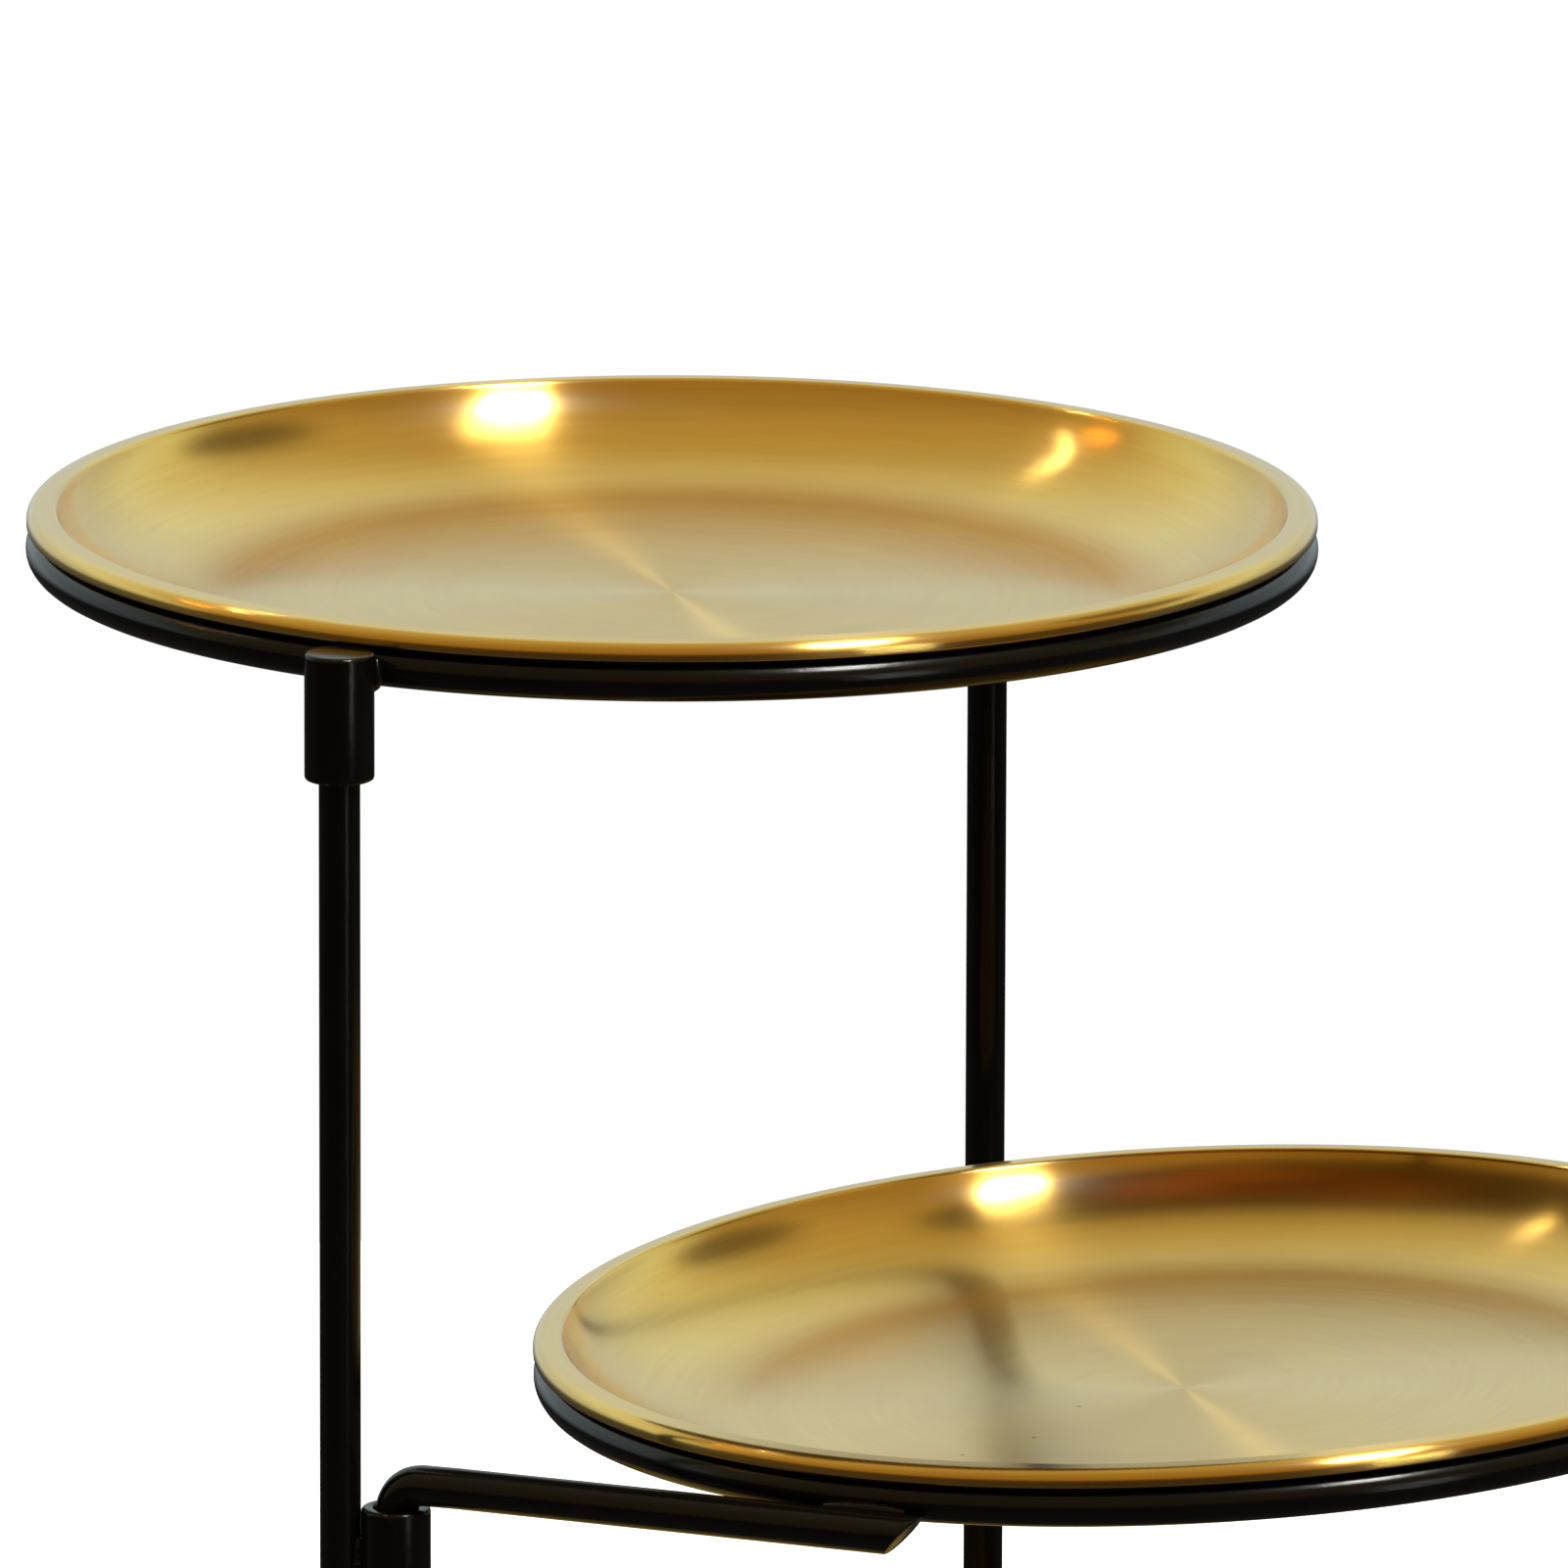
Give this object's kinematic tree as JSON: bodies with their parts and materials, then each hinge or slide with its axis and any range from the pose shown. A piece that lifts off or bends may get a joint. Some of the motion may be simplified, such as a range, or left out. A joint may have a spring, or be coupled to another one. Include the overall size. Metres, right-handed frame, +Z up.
{
  "type": "tiered cake stand",
  "caption": "Tiered cake stand: brass-coloured round plates resting in black rod rings on two posts, the middle tier offset to one side on plug-in arms.",
  "frame": {"origin": "on the table, under the middle of the whole stand's box", "axes": "+Z up; the two posts stand at -Y (front) and +Y (rear); the middle tier stands out along +X"},
  "size_m": [0.3696, 0.2818, 0.3266],
  "materials": {
    "top_plate_brass": "circularly brushed satin",
    "middle_plate_brass": "circularly brushed satin",
    "bottom_plate_brass": "circularly brushed satin",
    "frame_black": "gloss black paint",
    "sleeve_black": "gloss black paint",
    "foot_rubber": "matte rubber"
  },
  "bodies": {
    "base": {"bottom_ring": "frame_black", "base_socket_front": "sleeve_black", "base_socket_rear": "sleeve_black", "left_leg": "frame_black", "right_leg": "frame_black", "front_foot_cap": "foot_rubber", "rear_foot_cap": "foot_rubber", "left_foot_cap": "foot_rubber", "right_foot_cap": "foot_rubber", "front_post": "frame_black", "rear_post": "frame_black", "front_arm_sleeve": "sleeve_black", "rear_arm_sleeve": "sleeve_black"},
    "top_tier": {"top_ring": "frame_black", "top_sleeve_front": "sleeve_black", "top_sleeve_rear": "sleeve_black"},
    "middle_tier": {"middle_ring": "frame_black", "front_arm": "frame_black", "rear_arm": "frame_black"},
    "top_plate": {"top_plate": "top_plate_brass"},
    "middle_plate": {"middle_plate": "middle_plate_brass"},
    "bottom_plate": {"bottom_plate": "bottom_plate_brass"}
  },
  "joints": [
    {"name": "top_tier_lift", "type": "slide", "parent": "base", "child": "top_tier", "axis": [0, 0, 1], "range_m": [0, 0.05]},
    {"name": "middle_tier_lift", "type": "slide", "parent": "base", "child": "middle_tier", "axis": [0, 0, 1], "range_m": [0, 0.04]},
    {"name": "top_plate_lift", "type": "slide", "parent": "top_tier", "child": "top_plate", "axis": [0, 0, 1], "range_m": [0, 0.05]},
    {"name": "middle_plate_lift", "type": "slide", "parent": "middle_tier", "child": "middle_plate", "axis": [0, 0, 1], "range_m": [0, 0.04]},
    {"name": "bottom_plate_lift", "type": "slide", "parent": "base", "child": "bottom_plate", "axis": [0, 0, 1], "range_m": [0, 0.04]}
  ]
}
